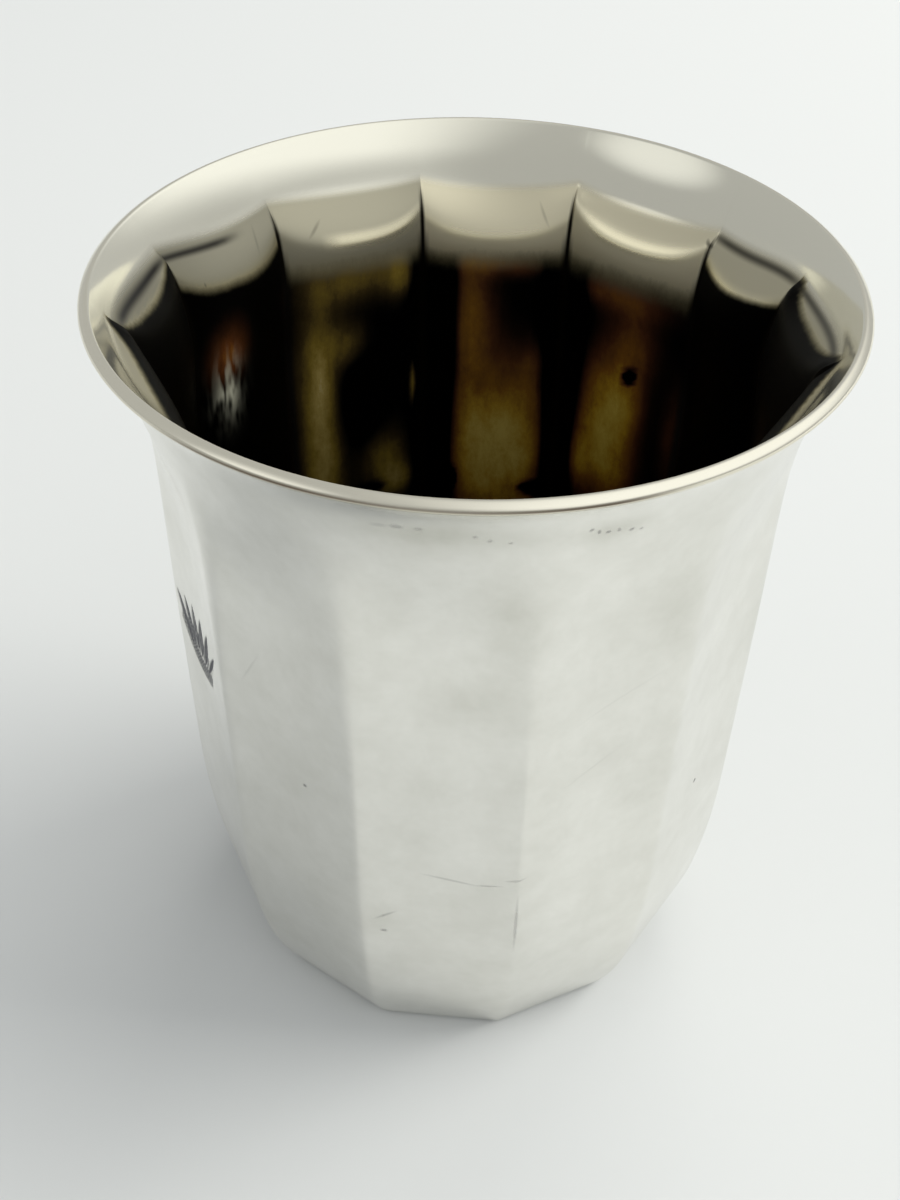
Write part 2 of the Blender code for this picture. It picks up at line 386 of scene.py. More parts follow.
# ---------------------------------------------------------------- the sheet as one surface
def beaker_points():
    """Points of the whole wall on a grid of rows (underside to floor) and columns (round).

    Each row is a ring. Its distance from the axis is a circle's radius times one less a
    share, plus a rounded polygon's times the share. The share is 1 where facets are flat,
    more where they are hollow, and 0 in the flare. Outside it follows the height alone.
    Inside it is the ramp down the shoulder, from 0 at the sagging fold to 1 at the
    shoulder's foot, times 1 plus the hollow, and the ring is also set in by the shoulder's
    and the fold's steps. The inside's outline is the outside's, set in by the wall at right
    angles to its slope. Last come the hammer waves, less the engraving's cuts.
    """
    angles = column_angles()
    outside = outer_rows(NECK_ROWS_OUTSIDE, STEP_OUTSIDE, STEP_ENGRAVED)[::-1]
    bead = bead_rows()
    inner = outer_rows(NECK_ROWS_INSIDE, STEP_INSIDE, STEP_INSIDE)[1:]
    inner_height = inner[:, 1] + WALL * np.sin(inner[:, 2])
    inner_radius = inner[:, 0] - WALL * np.cos(inner[:, 2])

    radius = np.concatenate([outside[:, 0], bead[:, 0], inner_radius])
    height = np.concatenate([outside[:, 1], bead[:, 1], inner_height])
    level = np.concatenate([outside[:, 1], bead[:, 1], inner[:, 1]])
    inward = np.concatenate([
        np.zeros(len(outside)), np.linspace(0, 1, len(bead)), np.ones(len(inner)),
    ])
    inside = (inward > 0.5)[:, None]

    off_middle = (angles - FIRST_ARRIS) % (2 * HALF) - HALF
    off_arris = HALF - np.abs(off_middle)
    nearest = np.round((angles - FIRST_ARRIS) / (2 * HALF)).astype(int) % FACETS
    facet = np.floor((angles - FIRST_ARRIS) / (2 * HALF) + 1e-6).astype(int) % FACETS
    soft = ARRIS_RADIUS + ARRIS_FOOT_ADDS * smooth_step(level / ARRIS_FOOT)
    soft = soft + ARRIS_NECK_ADDS * smooth_step((level - ARRIS_NECK_LOW) / ARRIS_NECK_RISE)
    corner = soft[:, None] * MM * ARRIS_SHARES[nearest][None, :]
    corner = np.where(inside, CREASE_RADIUS, corner)

    # The fold sags by a parabola, and heights are taken from it; the shoulder shortens by
    # the fourth power of the way from the facet's middle to a crease.
    sag = FOLD_SAGS[facet] * (1 - (off_middle / HALF) ** 2)
    tops = between_arrises(ARRIS_TOPS, angles) - sag
    local = level[:, None] - np.where(inside, 1.0, ARRIS_TOPS_OUTSIDE) * tops[None, :]
    length = SHOULDERS[facet] - SHOULDER_RISES[facet] * np.abs(off_middle / HALF) ** 4
    length = np.maximum(length, SHORTEST_SHOULDER)[None, :]
    under_fold = FOLD_HIGH - local
    down = ramp(under_fold / length, FOLD_ROUNDING, FOOT_ROUNDING)
    share = np.where(inside, down * (1 + HOLLOW_INSIDE * hollowing(local)), outside_share(local))
    step = SHOULDER_STEP * down * smooth_step((level[:, None] - STEP_FOOT) / STEP_FADING)
    step += FOLD_STEP * smooth_step(0.5 + under_fold / FOLD_STEP_REACH)
    ring = radius[:, None] - np.where(inside, step, 0.0)
    polygon = rounded_polygon(ring, corner, off_arris[None, :])
    distance = ring * (1 - share) + polygon * share + hammered(angles, level)

    here = facet == ENGRAVED_FACET
    across = distance * np.sin(off_middle)[None, :] / MM
    cut = palmette(across, np.broadcast_to(level[:, None] / MM, across.shape))
    cut = cut * here[None, :] * ~inside
    distance = distance - CUT_DEPTH * cut

    turned = angles + between_arrises(ARRIS_SHIFTS, angles)
    x = distance * np.cos(turned)[None, :]
    y = distance * np.sin(turned)[None, :]
    z = np.broadcast_to(height[:, None], x.shape)

    # Marks of the inside: how far under the fold and under the shoulder's foot, in
    # millimetres, the painted lines that run along these, the creases' painted shade, and the
    # tarnish. The creases' painted shade is a dark line that widens down the wall, and the
    # tarnish's edge is softer where it is lower.
    from_crease = distance * np.sin(off_arris)[None, :] / MM
    groove = 0.08 + 0.35 * smooth_step(under_fold / (9 * MM))
    crease_shade = smooth_step(1.5 - from_crease / groove) * smooth_step(under_fold / (1.5 * MM))
    drop = TARNISH_DROPS[facet][None, :]
    rise = SHOULDERS[facet] - length[0] + FOLD_SAGS[facet] - sag
    edge = length + drop + ((1 - TARNISH_RISES[facet]) * rise)[None, :]
    edge_width = 1 * MM + 1.2 * np.maximum(drop, 0.0)
    tarnish = smooth_step(0.5 + (under_fold - edge) / edge_width) * inside
    from_fold_reflection = np.full(x.shape, 9.0)
    for number, *_, depth, half_width in FOLD_DARK_REFLECTIONS:
        on = (facet == number)[None, :] & inside
        off_line = np.clip((under_fold / MM - depth) / half_width, -9.0, 9.0)
        from_fold_reflection = np.where(on, off_line, from_fold_reflection)

    # Marks of the outside: the lip's rounded edge, and bells round the painted dark reflection
    # along its outer side and round the painted shade in the groove under it. A fifth of these goes
    # all round, and all of them lie within 26 degrees of the shaded side, in nine slow waves.
    down_lip = HEIGHT - height
    lip_shade = np.exp(-((down_lip - LIP_DARK_REFLECTION) / LIP_DARK_REFLECTION_HALF) ** 2)
    lip_shade += np.exp(-((down_lip - SHADED_GROOVE) / SHADED_GROOVE_HALF) ** 2)
    lip_shaded = 0.2 + 0.8 * smooth_step((np.cos(angles - LIP_SHADE_AZIMUTH) - 0.78) / 0.12)
    lip_shaded = lip_shaded * (0.88 + 0.12 * np.sin(9 * angles))
    lip_shade = (lip_shade * (inward < 0.55))[:, None] * lip_shaded[None, :]
    lip = ((inward > 0) & (inward < 1))[:, None] * np.ones(len(angles))

    def all_rows(values):
        """One value for each column, carried down all the rows."""
        return np.broadcast_to(values[None, :], x.shape)

    marks = {
        "engraved": cut,
        "painted_dark_lines": lip_shade,
        "lip": lip,
        "under_fold": np.clip(under_fold / MM, -9.0, 9.0) * inside,
        "under_foot": np.clip((under_fold - length) / MM, -9.0, 9.0) * inside,
        "dimmed_shoulder": all_rows(SHOULDER_DIMMING[facet]),
        "foot_highlight": all_rows(along_facets(FOOT_HIGHLIGHTS, facet, off_middle)),
        "from_fold_reflection": from_fold_reflection,
        "fold_dark_reflection": all_rows(along_facets(FOLD_DARK_REFLECTIONS, facet, off_middle)),
        "olive": all_rows(OLIVE[facet]),
        "crease_shade": crease_shade * inside,
        "tarnish": tarnish,
    }
    return np.stack([x, y, z], axis=-1), inward, marks


def disc_rings(edge, parts, rises):
    """Rings that shrink a ring of points to their middle by parts, each raised by its rise."""
    middle = edge.mean(axis=0)
    rings = np.array([middle + (edge - middle) * part for part in parts])
    rings[..., 2] = edge[:, 2][None, :] + np.array(rises)[:, None]
    return rings


def make_beaker():
    """Close the wall with an underside and a floor, each a fan of rings round one point."""
    wall, inward, wall_marks = beaker_points()
    discs = len(DISC_RINGS)
    under = disc_rings(wall[0], DISC_RINGS, UNDERSIDE_HOLLOWS)
    floor = disc_rings(wall[-1], DISC_RINGS[::-1], np.zeros(discs))
    rings = np.concatenate([under, wall, floor])
    rows, columns = rings.shape[:2]

    points = rings.reshape(-1, 3)
    under_pole, floor_pole = len(points), len(points) + 1
    poles = [[0, 0, rings[0, 0, 2] + CENTRE_MARK], [0, 0, rings[-1, 0, 2]]]
    points = np.vstack([points, poles])

    row, column = np.meshgrid(np.arange(rows - 1), np.arange(columns), indexing="ij")
    here = row * columns + column
    there = row * columns + (column + 1) % columns
    quads = np.stack([here, there, there + columns, here + columns], axis=-1).reshape(-1, 4)
    ring = np.arange(columns)
    after = (ring + 1) % columns
    last = (rows - 1) * columns
    under_fan = np.column_stack([after, ring, np.full(columns, under_pole)])
    floor_fan = np.column_stack([last + ring, last + after, np.full(columns, floor_pole)])

    mesh = bpy.data.meshes.new("silver_beaker")
    faces = quads.tolist() + under_fan.tolist() + floor_fan.tolist()
    mesh.from_pydata(points.tolist(), [], faces)

    # The underside has no marks, and the floor has those of the wall's last row.
    marks = {}
    for name, values in wall_marks.items():
        on_floor = np.broadcast_to(values[-1], (discs, columns))
        on_rings = np.concatenate([np.zeros((discs, columns)), values, on_floor])
        marks[name] = np.append(on_rings.ravel(), [0.0, values[-1, 0]])
    marks["gilding_and_shade"] = patches(points, GILT_AND_SHADE_PATCHES)
    from_axis = np.hypot(points[:, 0], points[:, 1])
    in_middle = np.exp(-(from_axis / FLOOR_GILDING_REACH) ** 2)
    marks["gilding_and_shade"] += FLOOR_GILDING * in_middle * (points[:, 2] < 5 * MM)
    marks["scuffed"] = patches(points, SCUFFED_PATCHES)
    marks["smudged"] = patches(points, SMUDGE_PATCHES)
    for name, values in marks.items():
        layer = mesh.attributes.new(name, "FLOAT", "POINT")
        layer.data.foreach_set("value", values.astype(np.float32))
    # The outer material goes over the lip's edge, and the inner one begins inside it.
    side = np.concatenate([np.zeros(discs), inward, np.ones(discs)])
    face_side = np.concatenate([
        np.repeat((side[:-1] + side[1:]) / 2, columns), np.zeros(columns), np.ones(columns),
    ])
    mesh.polygons.foreach_set("material_index", (face_side > 0.9).astype(np.int32))
    mesh.shade_smooth()
    mesh.update()
    return mesh


# ---------------------------------------------------------------- patches of wear and painted shade
# Azimuth, height, half width and half height of each patch, in degrees and millimetres, then
# how much it adds. First, inside, how much gilding shows through the tarnish: a little is
# brown, more is gold, most is pale, and less than none is black, which also paints shade in
# two strips beside creases. Then the scuffs there.
GILT_AND_SHADE_PATCHES = (
    (131.4, 50.5, 4.5, 12.5, 0.62),
    (131.3, 53.5, 1.5, 4.5, 0.28),
    (131.0, 41.0, 5.0, 5.0, 0.30),
    (124.5, 57.5, 4.5, 2.8, 0.38),
    (122.0, 50.0, 5.0, 5.5, -0.30),
    (121.5, 65.2, 11.5, 2.7, 0.33),
    (110.6, 64.6, 3.6, 2.8, 0.34),
    (115.5, 40.8, 5.6, 3.8, 0.52),
    (112.0, 37.6, 4.2, 2.0, 0.42),
    (119.0, 37.4, 3.0, 0.5, -0.70),
    (107.6, 50.5, 0.8, 2.9, 0.90),
    (94.8, 59.5, 4.8, 10.0, 0.45),
    (90.0, 66.0, 12.0, 1.3, 0.32),
    (88.0, 41.5, 12.0, 9.5, 1.15),
    (80.0, 51.0, 3.5, 5.0, 0.12),
    (79.5, 54.0, 3.0, 2.2, 0.15),
    (63.2, 50.5, 4.6, 5.8, 0.65),
    (56.4, 51.5, 4.6, 5.8, 0.78),
    (59.0, 43.6, 5.5, 4.0, 0.80),
    (55.5, 59.5, 6.0, 4.0, 0.32),
    (67.5, 44.0, 3.5, 5.0, 0.22),
    (60.0, 65.0, 12.0, 2.0, 0.31),
    (67.0, 42.0, 3.0, 3.0, 0.35),
    (43.5, 50.0, 2.5, 6.0, 0.20),
    (158.5, 63.0, 5.5, 3.2, 0.33),
    (56.0, 32.0, 8.0, 6.0, 0.6),
    (0.0, 40.0, 9.0, 16.0, 0.5),
    (-32.0, 38.0, 8.0, 18.0, 0.6),
    (-62.0, 42.0, 10.0, 14.0, 0.8),
    (-92.0, 36.0, 9.0, 17.0, 0.6),
    (-118.0, 44.0, 7.0, 12.0, 0.8),
    (-150.0, 40.0, 9.0, 15.0, 0.5),
    # Painted shade: two tall black strips beside creases 6 and 5.
    (103.0, 50.0, 3.6, 40.0, -1.5),
    (73.3, 50.0, 3.4, 40.0, -1.2),
    (55.3, 55.6, 0.75, 0.9, -1.4),
    (79.0, 36.4, 2.4, 0.7, -1.5),
    (99.0, 37.0, 1.4, 1.2, -1.0),
)
SCUFFED_PATCHES = (
    (159.4, 58.6, 3.6, 3.0, 1.0),
    (-20.0, 52.0, 5.0, 4.0, 0.5),
)
# The same outside, where handling has smudged the silver.
SMUDGE_PATCHES = (
    (-79.0, 64.5, 5.0, 5.0, 0.60),
    (-84.0, 54.0, 9.0, 2.6, 0.55),
    (-91.0, 74.6, 13.0, 1.5, 0.80),
    (-65.5, 74.0, 6.0, 1.3, 0.70),
    (-72.0, 41.0, 7.0, 5.0, 0.25),
    (-102.0, 23.5, 4.0, 2.0, 0.45),
    (-119.0, 41.0, 7.0, 6.0, 0.35),
    (-48.0, 60.0, 6.0, 9.0, 0.30),
    (-10.0, 50.0, 9.0, 7.0, 0.45),
    (35.0, 62.0, 8.0, 4.0, 0.50),
    (68.0, 46.0, 9.0, 7.0, 0.45),
    (104.0, 66.0, 8.0, 4.0, 0.50),
    (139.0, 40.0, 8.0, 8.0, 0.45),
    (175.0, 58.0, 9.0, 5.0, 0.45),
)


def patches(points, places):
    """Sum of the patches at each point.

    Each is its amount times e to the power of less the squares of the way round over its
    half width and of the way up over its half height.
    """
    azimuth = np.degrees(np.arctan2(points[:, 1], points[:, 0]))
    height = points[:, 2] / MM
    total = np.zeros(len(points))
    for middle, rise, half_width, half_height, amount in places:
        turn = (azimuth - middle + 180) % 360 - 180
        reach = (turn / half_width) ** 2 + ((height - rise) / half_height) ** 2
        total += amount * np.exp(-reach)
    return total


# ---------------------------------------------------------------- materials
def linear(hex_colour):
    """An sRGB hex colour as linear red, green, blue and alpha."""
    channels = [int(hex_colour[start:start + 2], 16) / 255 for start in (1, 3, 5)]
    return [c / 12.92 if c <= 0.04045 else ((c + 0.055) / 1.055) ** 2.4 for c in channels] + [1.0]


def add(tree, kind, inputs=None, **settings):
    """Add a node with its settings; an input is a value or another node's output."""
    node = tree.nodes.new(kind)
    for name, value in settings.items():
        setattr(node, name, value)
    for socket, value in (inputs or {}).items():
        if isinstance(value, bpy.types.NodeSocket):
            tree.links.new(value, node.inputs[socket])
        else:
            node.inputs[socket].default_value = value
    return node


def new_material(name):
    """An empty node material: its tree, its shader and the Object coordinates of the piece."""
    material = bpy.data.materials.new(name)
    material.use_nodes = True
    tree = material.node_tree
    shader = tree.nodes["Principled BSDF"]
    place = add(tree, "ShaderNodeTexCoord").outputs["Object"]
    return material, tree, shader, place


def bell(tree, value, middle, half, height):
    """A smooth rise and fall: height at the middle value, none at half the width from it."""
    off = add(tree, "ShaderNodeMath", {0: value, 1: -middle}, operation="ADD")
    away = add(tree, "ShaderNodeMath", {0: off.outputs[0]}, operation="ABSOLUTE")
    rise = add(tree, "ShaderNodeMapRange", {
        "Value": away.outputs[0], "From Min": half, "From Max": 0.0,
    }, interpolation_type="SMOOTHSTEP")
    return add(tree, "ShaderNodeMath", {
        0: rise.outputs["Result"], 1: height,
    }, operation="MULTIPLY").outputs[0]


def tones(tree, value, stages):
    """A colour that passes from black through the stages' colours as the value rises."""
    colour = linear("#050403")
    for start, end, tone in stages:
        part = add(tree, "ShaderNodeMapRange", {"Value": value, "From Min": start, "From Max": end})
        colour = add(tree, "ShaderNodeMix", {
            0: part.outputs["Result"], 6: colour, 7: linear(tone),
        }, data_type="RGBA").outputs[2]
    return colour


# Marks outside: azimuth in degrees and height in millimetres, half length and half width in
# millimetres, lean from level in degrees, and how dark it is. First pits, with the row of
# small worn spots under the lip, then scratches, then pits and scratches of the back.
SURFACE_MARKS = (
    (-117.1, 38.8, 0.34, 0.28, 30, 0.55),
    (-30.8, 32.1, 0.36, 0.28, 60, 0.80),
    (-100.9, 21.6, 0.45, 0.30, 0, 0.40),
    (-98.2, 75.2, 0.9, 0.30, 4, 0.16),
    (-95.8, 75.3, 0.7, 0.32, -3, 0.24),
    (-92.8, 75.3, 0.5, 0.28, 8, 0.20),
    (-85.3, 74.7, 0.28, 0.22, 0, 0.26),
    (-83.3, 74.2, 0.30, 0.22, 20, 0.26),
    (-80.5, 73.9, 0.26, 0.20, 0, 0.26),
    (-69.5, 74.6, 0.28, 0.22, 40, 0.42),
    (-68.3, 74.2, 0.20, 0.34, 10, 0.45),
    (-66.9, 74.0, 0.30, 0.22, 0, 0.45),
    (-65.3, 74.0, 0.20, 0.32, 15, 0.38),
    (-63.3, 73.7, 0.32, 0.24, 30, 0.42),
    (-61.7, 73.5, 0.24, 0.20, 0, 0.32),
    (-87.8, 30.5, 3.4, 0.20, -12, 0.24),
    (-80.5, 30.1, 1.6, 0.16, 4, 0.26),
    (-75.5, 31.2, 1.3, 0.20, 10, 0.22),
    (-100.5, 24.2, 1.6, 0.22, 35, 0.26),
    (-75.0, 24.5, 5.0, 0.22, 90, 0.26),
    (-58.0, 52.0, 6.0, 0.14, 24, 0.07),
    (-62.0, 44.0, 4.0, 0.14, 30, 0.08),
    (-128.0, 51.0, 3.0, 0.16, 62, 0.10),
    (28.0, 40.0, 6.0, 0.16, 20, 0.20),
    (70.0, 55.0, 0.34, 0.28, 20, 0.6),
    (112.0, 30.0, 5.0, 0.16, -25, 0.20),
    (146.0, 62.0, 0.30, 0.26, 0, 0.6),
)
# The same inside: painted shade along wrinkles by the folds and deep in a crease, and pits.
INSIDE_MARKS = (
    (129.9, 71.3, 1.5, 0.26, -37, 0.45),
    (79.5, 71.2, 1.7, 0.22, 57, 0.28),
    (138.2, 71.2, 1.6, 0.22, 88, 1.0),
    (143.6, 72.0, 1.7, 0.22, -75, 0.22),
    (161.5, 71.4, 0.35, 0.2, 90, 0.6),
    (42.4, 73.2, 0.7, 0.3, 30, 0.7),
)
MARK_REACH = 4.0 * MM               # how far a mark goes into the wall and out of it


def surface_marks(tree, place, marks):
    """How dark the marks are at a place: each is a thin ellipsoid cut by the wall.

    It stands on the middle of the sheet's outline, and darkens from its outside in.
    """
    rows = outer_rows(NECK_ROWS_OUTSIDE, STEP_OUTSIDE, STEP_OUTSIDE)[::-1]
    darkest = 0.0
    for azimuth, height, half_length, half_width, lean, darkness in marks:
        turned = Matrix.Rotation(np.radians(azimuth + 90), 3, "Z")
        turned = turned @ Matrix.Rotation(np.pi / 2, 3, "X")
        turned = turned @ Matrix.Rotation(np.radians(lean), 3, "Z")
        radius = np.interp(height * MM, rows[:, 1], rows[:, 0]) * np.cos(HALF / 2)
        centre = turned @ Vector((0, 0, 1)) * radius + Vector((0, 0, height * MM))
        mark = add(tree, "ShaderNodeMapping", {
            "Vector": place,
            "Location": centre,
            "Rotation": turned.to_euler(),
            "Scale": (half_length * MM, half_width * MM, MARK_REACH),
        }, vector_type="TEXTURE")
        reach = add(tree, "ShaderNodeVectorMath", {0: mark.outputs["Vector"]}, operation="LENGTH")
        dark = add(tree, "ShaderNodeMapRange", {
            "Value": reach.outputs["Value"], "From Min": 1.0, "From Max": 0.4, "To Max": darkness,
        })
        darkest = add(tree, "ShaderNodeMath", {
            0: darkest, 1: dark.outputs["Result"],
        }, operation="MAXIMUM").outputs[0]
    return darkest


def polished_silver():
    """Sterling silver, raised, buffed and long handled.

    A bright, faintly warm metal, warmer on the lip as a painted cream highlight. Smudges in fine
    mottled clouds dull it a little, fine scratches run round it, pits and the graver's cuts are
    dark, and brown is painted along the lip's edge and in the groove under it for a dark
    reflection and shade.
    """
    material, tree, shader, place = new_material("polished_sterling_silver")
    mark = {
        name: add(tree, "ShaderNodeAttribute", attribute_name=name).outputs["Fac"]
        for name in ("engraved", "painted_dark_lines", "lip", "smudged")
    }

    # Clouds about 9 mm across, mottled down to a fraction of a millimetre, and duller where
    # handling has smudged the cup.
    cloud = add(tree, "ShaderNodeTexNoise", {
        "Vector": place, "Scale": 110.0, "Detail": 8.0, "Roughness": 0.74,
    }).outputs["Fac"]
    smudges = add(tree, "ShaderNodeMath", {
        0: mark["smudged"], 1: 0.55, 2: cloud,
    }, operation="MULTIPLY_ADD")
    dull = add(tree, "ShaderNodeMapRange", {
        "Value": smudges.outputs[0], "From Min": 0.36, "From Max": 0.98, "To Max": 2.2,
    }, clamp=False)
    tone = add(tree, "ShaderNodeMix", {
        0: dull.outputs["Result"], 6: linear("#F0EFE9"), 7: linear("#E4E3DC"),
    }, data_type="RGBA", clamp_factor=False)
    # The lip's edge is tinted cream: a painted highlight.
    edge = add(tree, "ShaderNodeMix", {
        0: mark["lip"], 6: tone.outputs[2], 7: linear("#F2EDDC"),
    }, data_type="RGBA")
    # Brown painted along the lip's edge and in the groove under it: a dark reflection and shade.
    lip_shaded = add(tree, "ShaderNodeMix", {
        0: mark["painted_dark_lines"], 6: edge.outputs[2], 7: linear("#4A3420"),
    }, data_type="RGBA")

    # Fine scratches round the cup, about 0.4 mm apart: real ones are finer, and these are as
    # coarse as they need to be to show.
    stretched = add(tree, "ShaderNodeMapping", {"Vector": place, "Scale": (60.0, 60.0, 2600.0)})
    brushed = add(tree, "ShaderNodeTexNoise", {
        "Vector": stretched.outputs["Vector"], "Scale": 1.0, "Detail": 2.0,
    })

    pitted = surface_marks(tree, place, SURFACE_MARKS)
    tarnish = add(tree, "ShaderNodeMath", {
        0: pitted, 1: mark["engraved"],
    }, operation="MAXIMUM")
    colour = add(tree, "ShaderNodeMix", {
        0: tarnish.outputs[0], 6: lip_shaded.outputs[2], 7: linear("#45454E"),
    }, data_type="RGBA")
    rough = add(tree, "ShaderNodeMapRange", {
        "Value": cloud, "From Min": 0.3, "From Max": 0.7, "To Min": 0.16, "To Max": 0.23,
    })
    rougher = add(tree, "ShaderNodeMath", {
        0: tarnish.outputs[0], 1: 0.3, 2: rough.outputs["Result"],
    }, operation="MULTIPLY_ADD")
    bump = add(tree, "ShaderNodeBump", {
        "Height": brushed.outputs["Fac"], "Strength": 0.05, "Distance": 0.1 * MM,
    })

    tree.links.new(colour.outputs[2], shader.inputs["Base Color"])
    tree.links.new(rougher.outputs[0], shader.inputs["Roughness"])
    tree.links.new(bump.outputs["Normal"], shader.inputs["Normal"])
    shader.inputs["Metallic"].default_value = 1.0
    return material


def tarnished_gilt():
    """The gilt inside of a silver cup, worn, with black silver sulphide over what is left.

    The flare is bare polished metal. The shoulders below the fold are satin and cream, darkened on
    some facets as a painted dim reflection, with painted dark reflections under some folds and a
    painted highlight along some feet. Under them a thin straw film turns to a nearly black wall,
    with dull olive, brown and yellow gold where gilding shows through, painted shade along the
    creases and in strips beside two of them, and pale scuffs.
    """
    material, tree, shader, place = new_material("tarnished_silver_gilt")
    names = (
        "under_fold", "under_foot", "dimmed_shoulder", "foot_highlight", "fold_dark_reflection", "from_fold_reflection", "crease_shade",
        "tarnish", "gilding_and_shade", "olive", "scuffed",
    )
    mark = {
        name: add(tree, "ShaderNodeAttribute", attribute_name=name).outputs["Fac"] for name in names
    }
    shoulder = add(tree, "ShaderNodeMapRange", {
        "Value": mark["under_fold"], "From Min": -0.7, "From Max": 0.4,
    }, interpolation_type="SMOOTHSTEP").outputs["Result"]
    foot_highlight = bell(tree, mark["under_foot"], 0.35, 1.2, mark["foot_highlight"])
    painted_dark_lines = bell(tree, mark["from_fold_reflection"], 0.0, 1.0, mark["fold_dark_reflection"])

    # Blotches about 4 mm across and 8 mm tall, with ragged fine detail.
    tall = add(tree, "ShaderNodeMapping", {"Vector": place, "Scale": (260.0, 260.0, 130.0)})
    blotch = add(tree, "ShaderNodeTexNoise", {
        "Vector": tall.outputs["Vector"], "Scale": 1.0, "Detail": 8.0, "Roughness": 0.8,
    })
    uneven = add(tree, "ShaderNodeMapRange", {
        "Value": blotch.outputs["Fac"], "From Min": 0.3, "From Max": 0.7,
        "To Min": -0.34, "To Max": 0.34,
    })
    showing = add(tree, "ShaderNodeMath", {
        0: uneven.outputs["Result"], 1: mark["gilding_and_shade"], 2: mark["gilding_and_shade"],
    }, operation="MULTIPLY_ADD").outputs[0]
    browns = tones(tree, showing, (
        (0.02, 0.25, "#542A08"), (0.25, 0.5, "#85560C"),
        (0.5, 0.75, "#B68D1C"), (0.75, 1.1, "#D3B84C"),
    ))
    olives = tones(tree, showing, (
        (0.02, 0.25, "#3E300C"), (0.25, 0.5, "#7A6620"),
        (0.5, 0.8, "#A69250"), (0.8, 1.2, "#CCC29C"),
    ))
    film = add(tree, "ShaderNodeMix", {0: mark["olive"], 6: browns, 7: olives}, data_type="RGBA")

    # Scuffs are upright strokes about 1 mm wide and 4 mm long, down to pale metal.
    upright = add(tree, "ShaderNodeMapping", {"Vector": place, "Scale": (900.0, 900.0, 240.0)})
    streaks = add(tree, "ShaderNodeTexNoise", {
        "Vector": upright.outputs["Vector"], "Scale": 1.0, "Detail": 1.5,
    })
    streak = add(tree, "ShaderNodeMapRange", {
        "Value": streaks.outputs["Fac"], "From Min": 0.42, "From Max": 0.58,
    })
    scuff = add(tree, "ShaderNodeMath", {
        0: streak.outputs["Result"], 1: mark["scuffed"],
    }, operation="MULTIPLY")
    deep = add(tree, "ShaderNodeMix", {
        0: scuff.outputs[0], 6: film.outputs[2], 7: linear("#C4C4B0"),
    }, data_type="RGBA")

    # The tarnish's edge is ragged, and black holds on for a little before it thins out.
    ragged = add(tree, "ShaderNodeMath", {
        0: uneven.outputs["Result"], 1: 0.3, 2: mark["tarnish"],
    }, operation="MULTIPLY_ADD")
    bare = add(tree, "ShaderNodeMapRange", {
        "Value": ragged.outputs[0], "From Min": 0.88, "From Max": 0.14,
    })
    barer = add(tree, "ShaderNodeMath", {0: bare.outputs["Result"], 1: 1.7}, operation="POWER")
    black = add(tree, "ShaderNodeMapRange", {
        "Value": barer.outputs[0], "To Min": 1.0, "To Max": 0.0,
    })
    # Darkening the satin cream on some facets is a painted dim reflection.
    dimmed_satin = add(tree, "ShaderNodeMix", {
        0: mark["dimmed_shoulder"], 6: linear("#E4DCC0"), 7: linear("#918D7C"),
    }, data_type="RGBA")
    top = add(tree, "ShaderNodeMix", {
        0: shoulder, 6: linear("#EDEADB"), 7: dimmed_satin.outputs[2],
    }, data_type="RGBA")
    straw = add(tree, "ShaderNodeMapRange", {"Value": mark["tarnish"], "From Max": 0.5})
    toned = add(tree, "ShaderNodeMix", {
        0: straw.outputs["Result"], 6: top.outputs[2], 7: linear("#B8AE88"),
    }, data_type="RGBA")
    # A painted highlight along the foot of some shoulders.
    highlighted = add(tree, "ShaderNodeMix", {
        0: foot_highlight, 6: toned.outputs[2], 7: linear("#F8EFCE"),
    }, data_type="RGBA")
    wall = add(tree, "ShaderNodeMix", {
        0: black.outputs["Result"], 6: highlighted.outputs[2], 7: deep.outputs[2],
    }, data_type="RGBA")
    # Painted dark reflections under the folds, and painted shade along wrinkles and in a crease,
    # with pits.
    wrinkle_shade_and_pits = surface_marks(tree, place, INSIDE_MARKS)
    painted_dark = add(tree, "ShaderNodeMath", {0: painted_dark_lines, 1: wrinkle_shade_and_pits}, operation="MAXIMUM")
    darkened_wall = add(tree, "ShaderNodeMix", {
        0: painted_dark.outputs[0], 6: wall.outputs[2], 7: linear("#262420"),
    }, data_type="RGBA")
    # Painted shade along the creases.
    colour = add(tree, "ShaderNodeMix", {
        0: mark["crease_shade"], 6: darkened_wall.outputs[2], 7: linear("#120E08"),
    }, data_type="RGBA")

    # Tarnish is a metal's dark film; worn gilding and scuffs scatter light from a dull skin.
    skin = add(tree, "ShaderNodeMapRange", {"Value": showing, "From Max": 0.3})
    duller = add(tree, "ShaderNodeMath", {
        0: skin.outputs["Result"], 1: scuff.outputs[0],
    }, operation="MAXIMUM")
    metal_deep = add(tree, "ShaderNodeMapRange", {
        "Value": duller.outputs[0], "To Min": 1.0, "To Max": 0.1,
    })
    metal = add(tree, "ShaderNodeMix", {
        0: black.outputs["Result"], 2: 0.9, 3: metal_deep.outputs["Result"],
    }, data_type="FLOAT")
